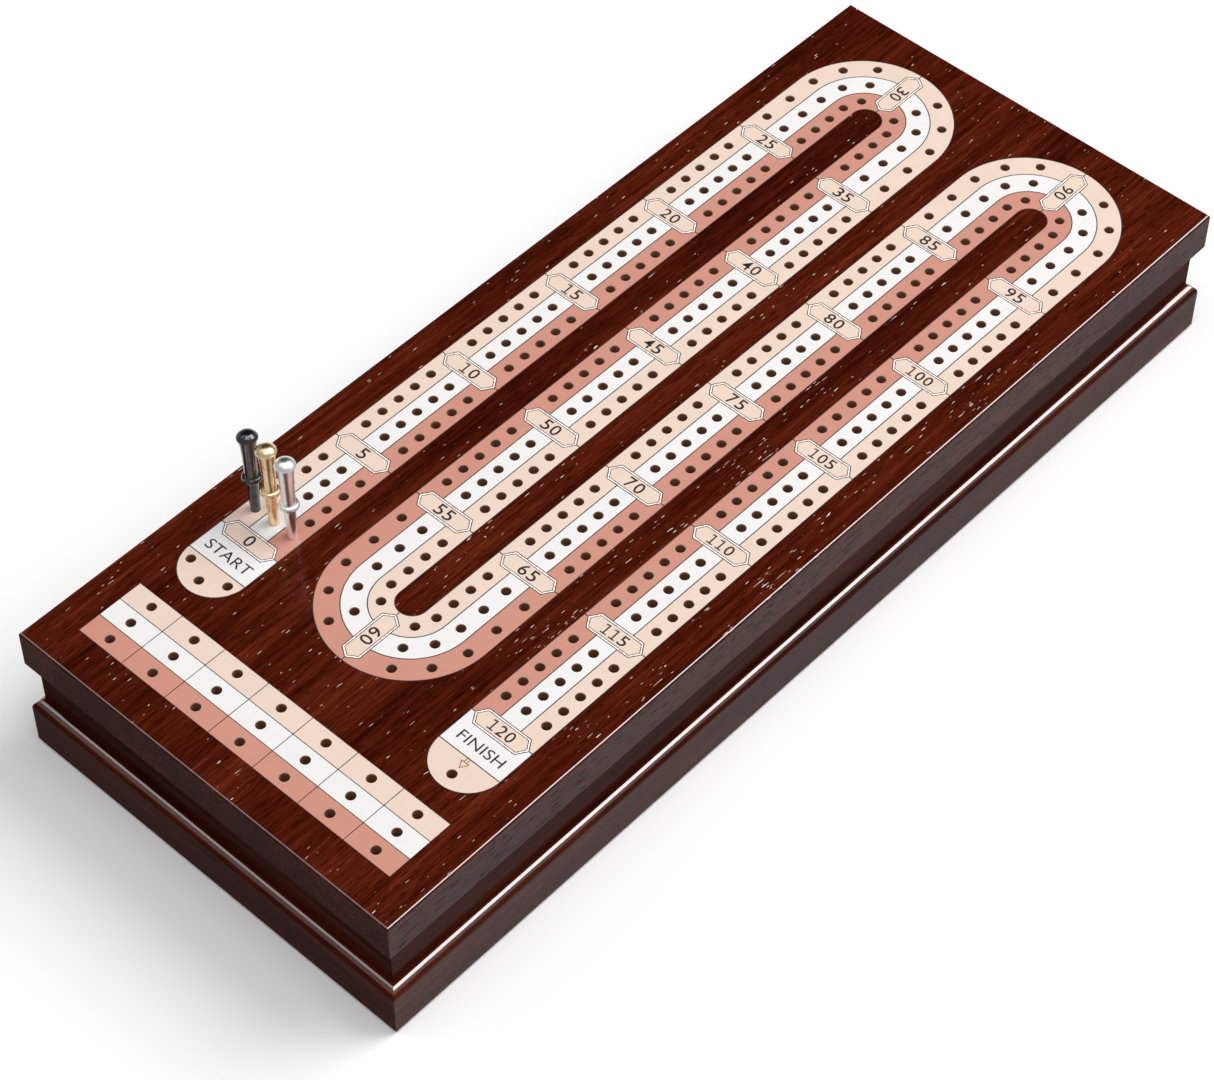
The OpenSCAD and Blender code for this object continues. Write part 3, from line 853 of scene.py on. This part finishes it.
def print_text(shape, words, x, y, width, height, turned=False, ink_spread=0.0):
    """Adds the words as a thin closed film; turned text reads towards -Y."""
    points, faces, rim = text_mesh(words, width, height, ink_spread)
    n = len(points)
    spots = [(x + q, y - p) if turned else (x + p, y + q) for p, q in points]
    verts = [(*s, TOP - PRINT_DEPTH) for s in spots] + [(*s, TOP + TEXT_RISE) for s in spots]
    solid = [face[::-1] for face in faces] + [[n + i for i in face] for face in faces]
    solid += [[a, b, n + b, n + a] for a, b in rim]
    shape.add(verts, solid)


# Height of the digits and the step between them, by the number of digits
NUMBER_HEIGHT = {1: 4.3, 2: 4.2, 3: 3.85}
DIGIT_STEP = {1: 0.0, 2: 3.6, 3: 3.2}
NUMBER_SPREAD = 0.007
DIGIT_WIDTH = 0.67

# Parts of the 1 as shares of its height, but the sole's thickness as a share of the stroke
ONE_FOOT, ONE_FLAG, ONE_STROKE, FLAG_DROP = 0.58, 0.27, 0.125, 0.05
ONE_SOLE = 0.9


def digit_one(height):
    """Outline of a 1 with a flag and a foot, centred on the origin."""
    foot, stem, top = ONE_FOOT * height / 2, ONE_STROKE * height / 2, height / 2
    sole = -top + ONE_SOLE * ONE_STROKE * height
    flag, drop = stem - ONE_FLAG * height - 2 * stem, FLAG_DROP * height
    return [
        (-foot, -top), (foot, -top), (foot, sole), (stem, sole), (stem, top), (-stem, top),
        (flag, top - drop), (flag, top - drop - 2 * stem), (-stem, top - 2 * stem),
        (-stem, sole), (-foot, sole),
    ]


def print_number(shape, digits, x, y, turned):
    """Adds evenly spaced digits; turned numbers read towards -Y."""
    height, pitch = NUMBER_HEIGHT[len(digits)], DIGIT_STEP[len(digits)]
    for i, digit in enumerate(digits):
        shift = (i - (len(digits) - 1) / 2) * pitch
        cx, cy = (x, y - shift) if turned else (x + shift, y)
        if digit == "1":
            outline = [(cx + p, cy + q) for p, q in digit_one(height)]
            shape.prism(outline, TOP - PRINT_DEPTH, TOP + TEXT_RISE)
        else:
            width = DIGIT_WIDTH * height
            print_text(shape, digit, cx, cy, width, height, turned, NUMBER_SPREAD)


WORD_Y = -123.9
START_SIZE = (17.6, 3.75)
FINISH_SIZE = (16.6, 3.6)

numbers = Shape()
for number, x, y, turned in all_plaques():
    print_number(numbers, str(number), x, y, turned)
printed_piece("score_numbers", numbers, text_ink)

words = Shape()
print_text(words, "START", column_x(START_COLUMN), WORD_Y, *START_SIZE)
print_text(words, "FINISH", column_x(FINISH_COLUMN), WORD_Y, *FINISH_SIZE)
printed_piece("pad_words", words, text_ink)

# ---------------------------------------------------------------- pegs


def peg_profile():
    """(radius, height above the playing face) from the tip to the crown."""
    shank, wide_shank, collar, waist, neck, head = 1.55, 1.80, 3.1, 2.10, 2.75, 3.25
    tip_round, fillet, dome = 0.5, 0.35, 1.75
    taper_z, taper_h = 0.2, 11.6
    collar_z, collar_half, collar_bluntness = 14.2, 1.0, 0.8
    flare_power, flare_steps, dome_steps = 2.6, 28, 24
    foot, top = collar_z - collar_half, collar_z + collar_half
    rim_z = PEG_OUT - dome
    waist_z, neck_z = top + 0.2, rim_z - 0.75

    points = [(0.0, -PEG_IN)]
    points += arc(shank - tip_round, tip_round - PEG_IN, tip_round, -90, 0, 6)
    points += [(shank, -4.0), (shank, taper_z)]
    for u in (0.25, 0.5, 0.75, 1.0):
        points.append((shank + (wide_shank - shank) * u, taper_z + taper_h * u))
    points += [(wide_shank, foot - fillet), (wide_shank + 0.1, foot - 0.1)]
    start = wide_shank + fillet
    points.append((start, foot))
    for swell, rise in arc(0, 0, 1, -90, 90, 20):
        swell = swell ** collar_bluntness
        points.append((start + (collar - start) * swell, collar_z + collar_half * rise))
    points += [(waist + 0.12, top + 0.05), (waist + 0.02, waist_z)]
    for i in range(1, flare_steps + 1):
        u = i / flare_steps
        flare = (neck - waist) * u ** flare_power
        points.append((waist + flare, waist_z + (neck_z - waist_z) * u))
    points += [(neck, neck_z + 0.12), (neck + 0.10, neck_z + 0.2), (head - 0.22, neck_z + 0.3)]
    points += [(head - 0.06, rim_z - 0.36), (head, rim_z - 0.2), (head, rim_z - 0.05)]
    dome_r = (head * head + dome * dome) / (2 * dome)
    rim_angle = math.degrees(math.asin((dome_r - dome) / dome_r))
    points += arc(0, PEG_OUT - dome_r, dome_r, rim_angle, 90, dome_steps)[1:-1]
    points.append((0.0, PEG_OUT))
    return points


SAME_SPOT = 0.005


def lathe(shape, profile, place, segments):
    """Turns a closed profile, on the axis at both ends, about Z and puts it at place."""
    spots = zip(profile, profile[1:-1])
    inner = [spot for before, spot in spots if math.dist(before, spot) > SAME_SPOT]
    verts = [place @ Vector((0, 0, profile[0][1]))]
    for r, z in inner:
        for k in range(segments):
            a = 2 * math.pi * k / segments
            verts.append(place @ Vector((r * math.cos(a), r * math.sin(a), z)))
    verts.append(place @ Vector((0, 0, profile[-1][1])))
    crown = len(verts) - 1
    faces = []
    for k in range(segments):
        j = (k + 1) % segments
        faces.append([0, 1 + j, 1 + k])
        for i in range(len(inner) - 1):
            a, b = 1 + i * segments, 1 + (i + 1) * segments
            faces.append([a + k, a + j, b + j, b + k])
        last = 1 + (len(inner) - 1) * segments
        faces.append([last + k, last + j, crown])
    shape.add(verts, faces)


profile = peg_profile()
for color in PLATES:
    slot = color + "_metal"
    node = "peg_" + color
    low, high = cad_box(node)
    hole = Matrix.Translation(((low.x + high.x) / 2, (low.y + high.y) / 2, TOP))
    standing = Shape()
    lathe(standing, profile, hole, 96)
    name = node + "_turned"
    add_piece(name, make_mesh(name, standing), plate(color, 2), color + "_peg", [node], 40)

    node = "spare_pegs_" + color
    low, high = cad_box(node)
    lay = Matrix.Rotation(math.radians(-90), 4, "X")
    pair = Shape()
    for tip_y in (low.y, high.y - PEG_IN - PEG_OUT):
        spot = Vector(((low.x + high.x) / 2, tip_y + PEG_IN, (low.z + high.z) / 2))
        lathe(pair, profile, Matrix.Translation(spot) @ lay, 64)
    name = node + "_turned"
    add_piece(name, make_mesh(name, pair), plate(color, 1), "base", [node], 40)

# ---------------------------------------------------------------- inside and underneath


def eased_box(name, node, material, ease=0.6, steps=3):
    """A box with rounded edges in place of a plain CAD box."""
    low, high = cad_box(node)
    block = Shape()
    outline = [(low.x, low.y), (high.x, low.y), (high.x, high.y), (low.x, high.y)]
    block.prism(outline, low.z, high.z)
    mesh = make_mesh(name, block)
    work = bmesh.new()
    work.from_mesh(mesh)
    rounding = {"offset": ease * MM, "segments": steps, "profile": 0.5, "affect": "EDGES"}
    bmesh.ops.bevel(work, geom=work.edges[:], **rounding)
    work.to_mesh(mesh)
    work.free()
    add_piece(name, mesh, material, "base", [node], 35)


eased_box("long_divider", "divider_long", inner_wood_y)
for i in (1, 2, 3):
    eased_box(f"cross_divider_{i}", f"divider_cross_{i}", inner_wood_x)


# Felt: extra grid lines this far from its ends, how far its mean face lies below the top of the
# CAD liner, and its swells as (height, waves per millimetre, slice of the noise)
FELT_EDGE_GAPS = (0.15, 0.45)
FELT_SINK = 0.06
FELT_SWELLS = ((0.06, 0.35, 3.0), (0.04, 1.3, 9.0))


def grid_lines(start, end, count, cuts):
    """Even steps from start to end, closer at both ends, with a line at every cut."""
    even = {start + (end - start) * i / count for i in range(count + 1)}
    near_ends = {spot for gap in FELT_EDGE_GAPS for spot in (start + gap, end - gap)}
    return sorted(even | near_ends | set(cuts))


def felt_pads(name, node, areas, material, step=1.2, round_r=0.45):
    """Felt laid on the panel: soft edges and an uneven face.

    areas are (low corner, high corner, corner block cut out or None).
    """
    low, high = cad_box(node)
    shape = Shape()
    for (x0, y0), (x1, y1), block in areas:
        nx, ny = max(2, round((x1 - x0) / step)), max(2, round((y1 - y0) / step))

        def edge_distance(x, y):
            d = min(x - x0, x1 - x, y - y0, y1 - y)
            if block:
                bx0, by0, bx1, by1 = block
                dx = max(bx0 - x, x - bx1, 0)
                dy = max(by0 - y, y - by1, 0)
                d = min(d, math.hypot(dx, dy))
            return d

        def inside(x, y):
            return not block or not (block[0] < x < block[2] and block[1] < y < block[3])

        cuts_x = [v for v in (block[0], block[2]) if x0 < v < x1] if block else []
        cuts_y = [v for v in (block[1], block[3]) if y0 < v < y1] if block else []
        xs = grid_lines(x0, x1, nx, cuts_x)
        ys = grid_lines(y0, y1, ny, cuts_y)
        index, verts, faces = {}, [], []

        def vertex(i, j, top):
            key = (i, j, top)
            if key not in index:
                x, y = xs[i], ys[j]
                if top:
                    d = min(max(edge_distance(x, y), 0.0), round_r)
                    drop = round_r - math.sqrt(max(round_r**2 - (round_r - d) ** 2, 0.0))
                    z = high.z - FELT_SINK - drop
                    if d >= round_r:
                        for rise, waves, layer in FELT_SWELLS:
                            z += rise * noise.noise(Vector((x, y, layer)) * waves)
                else:
                    z = low.z
                index[key] = len(verts)
                verts.append((x, y, z))
            return index[key]

        cells = {
            (i, j)
            for i in range(len(xs) - 1)
            for j in range(len(ys) - 1)
            if inside((xs[i] + xs[i + 1]) / 2, (ys[j] + ys[j + 1]) / 2)
        }
        for i, j in sorted(cells):
            corners = [(i, j), (i + 1, j), (i + 1, j + 1), (i, j + 1)]
            faces.append([vertex(a, b, True) for a, b in corners])
            faces.append([vertex(a, b, False) for a, b in corners][::-1])
            for k, (di, dj) in enumerate(((0, -1), (1, 0), (0, 1), (-1, 0))):
                if (i + di, j + dj) not in cells:
                    a, b = corners[k], corners[(k + 1) % 4]
                    wall = ((a, False), (b, False), (b, True), (a, True))
                    faces.append([vertex(*corner, top) for corner, top in wall])
        shape.add(verts, faces)
    add_piece(name, make_mesh(name, shape), material, "base", [node], 50)


def area_of(node):
    low, high = cad_box(node)
    return (low.x, low.y), (high.x, high.y)


def footprint(node):
    low, high = cad_box(node)
    return low.x, low.y, high.x, high.y


card_low, card_high = area_of("liner_cards")
split_low, split_high = cad_box("divider_cross_2")
card_bays = [
    (card_low, (card_high[0], split_low.y), None),
    ((card_low[0], split_high.y), card_high, None),
]
felt_pads("card_bay_felt", "liner_cards", card_bays, green_felt)
for name, node, block_node in (
    ("near_bay_felt", "liner_near_bay", "catch_block"),
    ("far_bay_felt", "liner_far_bay", None),
    ("tray_felt", "liner_tray", "pivot_block"),
):
    cut_out = footprint(block_node) if block_node else None
    felt_pads(name, node, [(*area_of(node), cut_out)], green_felt)


def felt_feet():
    low, high = cad_box("felt_feet")
    radius, thick, ease = 7.0, high.z - low.z, 0.25
    rim = arc(radius - ease, ease, ease, -90, 0, 3)
    rings = [(radius * k / 6 * 0.95, 0.0) for k in range(1, 6)]
    profile = [(0.0, 0.0), *rings, *rim, (radius, thick), (0.0, thick)]
    shape = Shape()
    for sx in (low.x + radius, high.x - radius):
        for sy in (low.y + radius, high.y - radius):
            lathe(shape, profile, Matrix.Translation((sx, sy, low.z)), 64)
    name = "round_feet"
    add_piece(name, make_mesh(name, shape), foot_felt, "base", ["felt_feet"], 50)


felt_feet()

# ---------------------------------------------------------------- studio

FLOOR_HALF = 4.0
LIGHT_AIM = Vector((0.0, 0.0, 0.03))


def studio_floor():
    corners = [(x * FLOOR_HALF, y * FLOOR_HALF, 0) for x, y in ((-1, -1), (1, -1), (1, 1), (-1, 1))]
    mesh = bpy.data.meshes.new("studio_floor")
    mesh.from_pydata(corners, [], [(0, 1, 2, 3)])
    floor = bpy.data.objects.new("studio_floor", mesh)
    scene.collection.objects.link(floor)
    look = Look("pale_floor")
    look.set(base_color=(0.98, 0.98, 0.98), roughness=0.9, specular_ior_level=0.1)
    look.set(emission_color=(1.0, 1.0, 1.0), emission_strength=0.03)
    mesh.materials.append(look.material)


def area_light(name, way, across, distance, size, radiance):
    """A flat soft light towards way, facing the board; size is (along across, other way)."""
    data = bpy.data.lights.new(name, "AREA")
    data.shape = "RECTANGLE"
    data.size, data.size_y = size
    data.energy = math.pi * size[0] * size[1] * radiance
    back = Vector(way).normalized()
    side = Vector(across)
    side = (side - back * side.dot(back)).normalized()
    light = bpy.data.objects.new(name, data)
    turn = Matrix((side, back.cross(side), back)).transposed()
    light.matrix_world = Matrix.Translation(LIGHT_AIM + back * distance) @ turn.to_4x4()
    scene.collection.objects.link(light)


def studio_world(level, dark_way, dark_from, dark_to):
    """Even light from all round, but for a dark patch that the playing face mirrors."""
    world = bpy.data.worlds.new("studio_world")
    scene.world = world
    world.use_nodes = True
    nodes, links = world.node_tree.nodes, world.node_tree.links
    nodes.clear()
    way = nodes.new("ShaderNodeTexCoord")
    dot = nodes.new("ShaderNodeVectorMath")
    dot.operation = "DOT_PRODUCT"
    dot.inputs[1].default_value = dark_way
    links.new(way.outputs["Generated"], dot.inputs[0])
    fade = nodes.new("ShaderNodeMapRange")
    fade.interpolation_type = "SMOOTHSTEP"
    links.new(dot.outputs["Value"], fade.inputs["Value"])
    fade.inputs["From Min"].default_value = dark_from
    fade.inputs["From Max"].default_value = dark_to
    fade.inputs["To Min"].default_value = level
    fade.inputs["To Max"].default_value = 0.0
    background = nodes.new("ShaderNodeBackground")
    background.inputs["Color"].default_value = (1, 1, 1, 1)
    links.new(fade.outputs["Result"], background.inputs["Strength"])
    output = nodes.new("ShaderNodeOutputWorld")
    links.new(background.outputs[0], output.inputs["Surface"])


studio_floor()
studio_world(level=0.40, dark_way=(-0.437, 0.473, 0.765), dark_from=0.62, dark_to=0.92)
area_light(
    "key_panel", way=(0.310, 0.500, 0.808), across=(0.934, 0.0, -0.358),
    distance=2.5, size=(1.6, 1.45), radiance=5.5,
)
for name, way in (("overhead_right", (0.196, 0.0, 0.99)), ("overhead_left", (-0.008, -0.20, 0.99))):
    area_light(name, way, (0.734, 0.679, 0.0), distance=2.2, size=(0.58, 1.35), radiance=3.3)
area_light(
    "left_panel", way=(-0.476, -0.300, 0.827), across=(1.0, 0.0, 0.0),
    distance=2.0, size=(0.55, 0.9), radiance=1.3,
)

# ---------------------------------------------------------------- camera

CAMERA_AIM = Vector((0.0105, -0.0287, 0.0250))
CAMERA_AZIMUTH = 42.73
CAMERA_ELEVATION = 49.92
CAMERA_DISTANCE = 1.0272
CAMERA_LENS = 101.03


def add_camera():
    a, e = math.radians(CAMERA_AZIMUTH), math.radians(CAMERA_ELEVATION)
    back = Vector((math.sin(a) * math.cos(e), -math.cos(a) * math.cos(e), math.sin(e)))
    data = bpy.data.cameras.new("camera")
    data.sensor_width = 36.0
    data.lens = CAMERA_LENS
    data.clip_start, data.clip_end = 0.05, 20.0
    camera = bpy.data.objects.new("camera", data)
    camera.location = CAMERA_AIM + back * CAMERA_DISTANCE
    camera.rotation_mode = "QUATERNION"
    camera.rotation_quaternion = (-back).to_track_quat("-Z", "Y")
    scene.collection.objects.link(camera)
    scene.camera = camera


add_camera()
scene.view_settings.view_transform = "Standard"
